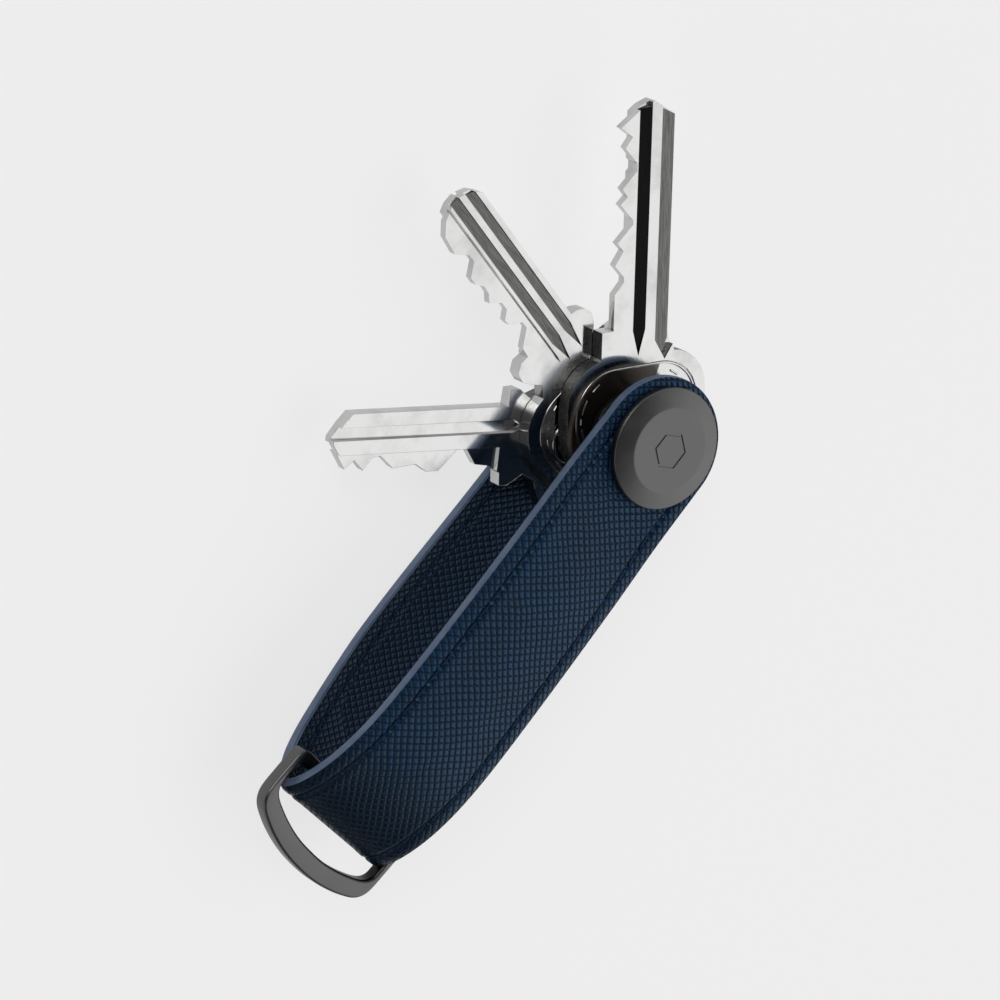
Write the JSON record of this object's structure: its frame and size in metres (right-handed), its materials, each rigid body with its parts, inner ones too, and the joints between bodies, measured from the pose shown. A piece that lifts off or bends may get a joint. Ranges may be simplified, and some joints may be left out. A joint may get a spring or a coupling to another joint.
{
  "type": "key organiser",
  "caption": "Folded leather strap with stitched edges, a turned lock screw and post at one end, keys fanned out on the post, and a metal D-ring held in the fold.",
  "frame": {"origin": "middle of the front lock head's flat face", "axes": "+Z out of the front lock face along the post, +X along the strap from the lock to the fold, +Y across the strap"},
  "size_m": [0.1075, 0.0567, 0.019],
  "materials": {
    "navy_leather": "navy cross-hatched calf leather, satin",
    "navy_lining": "darker navy cross-hatched lining leather",
    "edge_paint": "grey-blue painted cut edge",
    "navy_thread": "tone-on-tone navy thread",
    "gunmetal": "satin gunmetal plating",
    "dark_steel": "dark plated steel",
    "black_nylon": "black nylon",
    "spring_steel": "bare spring steel",
    "nickel": "polished nickel silver"
  },
  "bodies": {
    "strap": {"strap_outer": "navy_leather", "strap_lining": "navy_lining", "edge_coat": "edge_paint", "outer_seam_left": "navy_thread", "outer_seam_right": "navy_thread", "inner_seam_left": "navy_thread", "inner_seam_right": "navy_thread", "lock_barrel": "gunmetal", "front_eyelet": "dark_steel", "rear_eyelet": "dark_steel", "front_flange": "dark_steel", "rear_flange": "dark_steel", "thick_spacer": "black_nylon", "thin_spacer": "black_nylon", "wave_washer": "spring_steel"},
    "lock_screw": {"lock_screw": "gunmetal"},
    "front_key": {"front_key": "nickel"},
    "middle_key": {"middle_key": "nickel"},
    "rear_key": {"rear_key": "nickel"},
    "d_ring": {"d_ring": "gunmetal"}
  },
  "joints": [
    {"name": "lock_turn", "type": "hinge", "parent": "strap", "child": "lock_screw", "pos_m": [0, 0, 0], "axis": [0, 0, 1], "range_deg": [0, 360]},
    {"name": "front_key_swing", "type": "hinge", "parent": "strap", "child": "front_key", "pos_m": [0, 0, -0.0089], "axis": [0, 0, 1], "range_deg": [-224.6, 135.4]},
    {"name": "middle_key_swing", "type": "hinge", "parent": "strap", "child": "middle_key", "pos_m": [0, 0, -0.0111], "axis": [0, 0, 1], "range_deg": [-262.8, 97.2]},
    {"name": "rear_key_swing", "type": "hinge", "parent": "strap", "child": "rear_key", "pos_m": [0, 0, -0.0133], "axis": [0, 0, 1], "range_deg": [-308.1, 51.9]},
    {"name": "ring_swing", "type": "hinge", "parent": "strap", "child": "d_ring", "pos_m": [0.062, 0, -0.0095], "axis": [0.0698, 0.9976, 0], "range_deg": [-92, 100]}
  ]
}
